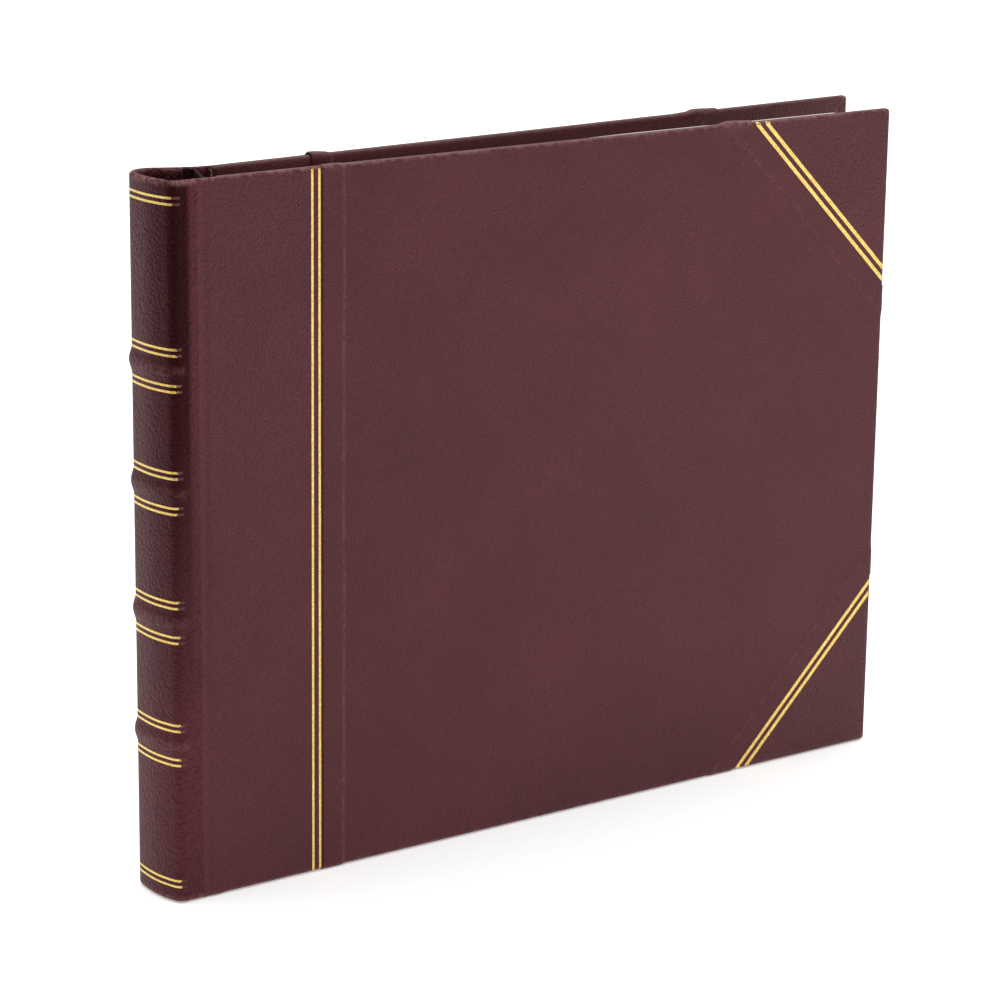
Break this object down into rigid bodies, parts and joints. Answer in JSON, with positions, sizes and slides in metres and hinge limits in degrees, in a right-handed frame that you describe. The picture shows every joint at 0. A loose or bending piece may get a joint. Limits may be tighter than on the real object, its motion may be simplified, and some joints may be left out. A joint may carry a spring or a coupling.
{
  "type": "stamp album",
  "caption": "Half-bound loose-leaf album with raised bands on the spine, leather corners, gilt lines and hinged leaves on concealed posts.",
  "frame": {"origin": "centre of the footprint on the surface that the album stands on", "axes": "+X from the spine to the fore-edge, +Y from the front cover to the rear cover, +Z from tail to head"},
  "size_m": [0.3246, 0.0388, 0.25],
  "materials": {
    "burgundy_leather": "grained burgundy leather, satin",
    "siding_leather": "fine-grained burgundy leather siding, satin",
    "greyboard": "grey binder's board",
    "lining_cloth": "woven burgundy joint cloth",
    "endpaper": "cream laid endpaper",
    "album_leaf": "ivory album leaf",
    "leaf_linen": "fine white linen",
    "gilt": "gold foil tooling",
    "post_brass": "turned brass"
  },
  "bodies": {
    "binding": {"spine_tube": "greyboard", "spine_leather": "burgundy_leather", "spine_gilding": "gilt", "binding_channel": "greyboard", "guard_strips": "album_leaf", "guard_linen": "leaf_linen", "post_barrels": "post_brass", "post_screws": "post_brass", "raised_band_1": "greyboard", "raised_band_2": "greyboard", "raised_band_3": "greyboard", "raised_band_4": "greyboard"},
    "front_cover": {"front_cover_board": "greyboard", "front_siding": "siding_leather", "front_quarter_leather": "burgundy_leather", "front_joint_lining": "lining_cloth", "front_corner_head": "burgundy_leather", "front_corner_tail": "burgundy_leather", "front_pastedown": "endpaper", "front_gilding": "gilt"},
    "rear_cover": {"rear_cover_board": "greyboard", "rear_siding": "siding_leather", "rear_quarter_leather": "burgundy_leather", "rear_joint_lining": "lining_cloth", "rear_corner_head": "burgundy_leather", "rear_corner_tail": "burgundy_leather", "rear_pastedown": "endpaper", "rear_gilding": "gilt"},
    "leaves_1": {"leaf_section_1": "album_leaf", "leaf_linen_1": "leaf_linen"},
    "leaves_2": {"leaf_section_2": "album_leaf", "leaf_linen_2": "leaf_linen"},
    "leaves_3": {"leaf_section_3": "album_leaf", "leaf_linen_3": "leaf_linen"},
    "leaves_4": {"leaf_section_4": "album_leaf", "leaf_linen_4": "leaf_linen"},
    "leaves_5": {"leaf_section_5": "album_leaf", "leaf_linen_5": "leaf_linen"},
    "leaves_6": {"leaf_section_6": "album_leaf", "leaf_linen_6": "leaf_linen"},
    "leaves_7": {"leaf_section_7": "album_leaf", "leaf_linen_7": "leaf_linen"},
    "leaves_8": {"leaf_section_8": "album_leaf", "leaf_linen_8": "leaf_linen"}
  },
  "joints": [
    {"name": "front_cover_hinge", "type": "hinge", "parent": "binding", "child": "front_cover", "pos_m": [-0.1448, -0.01901, 0], "axis": [0, 0, -1], "range_deg": [0, 165]},
    {"name": "rear_cover_hinge", "type": "hinge", "parent": "binding", "child": "rear_cover", "pos_m": [-0.136, 0.00439, 0], "axis": [0, 0, 1], "range_deg": [-3, 140]},
    {"name": "leaves_1_turn", "type": "hinge", "parent": "binding", "child": "leaves_1", "pos_m": [-0.11304, -0.01256, 0], "axis": [0, 0, -1], "range_deg": [0, 72.61]},
    {"name": "leaves_2_turn", "type": "hinge", "parent": "binding", "child": "leaves_2", "pos_m": [-0.11304, -0.01106, 0], "axis": [0, 0, -1], "range_deg": [0, 63.53]},
    {"name": "leaves_3_turn", "type": "hinge", "parent": "binding", "child": "leaves_3", "pos_m": [-0.11304, -0.00956, 0], "axis": [0, 0, -1], "range_deg": [0, 54.46]},
    {"name": "leaves_4_turn", "type": "hinge", "parent": "binding", "child": "leaves_4", "pos_m": [-0.11304, -0.00806, 0], "axis": [0, 0, -1], "range_deg": [0, 45.39]},
    {"name": "leaves_5_turn", "type": "hinge", "parent": "binding", "child": "leaves_5", "pos_m": [-0.11304, -0.00656, 0], "axis": [0, 0, -1], "range_deg": [0, 36.31]},
    {"name": "leaves_6_turn", "type": "hinge", "parent": "binding", "child": "leaves_6", "pos_m": [-0.11304, -0.00506, 0], "axis": [0, 0, -1], "range_deg": [0, 27.24]},
    {"name": "leaves_7_turn", "type": "hinge", "parent": "binding", "child": "leaves_7", "pos_m": [-0.11304, -0.00356, 0], "axis": [0, 0, -1], "range_deg": [0, 18.16]},
    {"name": "leaves_8_turn", "type": "hinge", "parent": "binding", "child": "leaves_8", "pos_m": [-0.11304, -0.00206, 0], "axis": [0, 0, -1], "range_deg": [0, 9.08]}
  ],
  "couplings": [
    {"joint": "leaves_1_turn", "follows": "front_cover_hinge", "ratio": 0.44},
    {"joint": "leaves_2_turn", "follows": "front_cover_hinge", "ratio": 0.385},
    {"joint": "leaves_3_turn", "follows": "front_cover_hinge", "ratio": 0.33},
    {"joint": "leaves_4_turn", "follows": "front_cover_hinge", "ratio": 0.275},
    {"joint": "leaves_5_turn", "follows": "front_cover_hinge", "ratio": 0.22},
    {"joint": "leaves_6_turn", "follows": "front_cover_hinge", "ratio": 0.165},
    {"joint": "leaves_7_turn", "follows": "front_cover_hinge", "ratio": 0.11},
    {"joint": "leaves_8_turn", "follows": "front_cover_hinge", "ratio": 0.055}
  ]
}
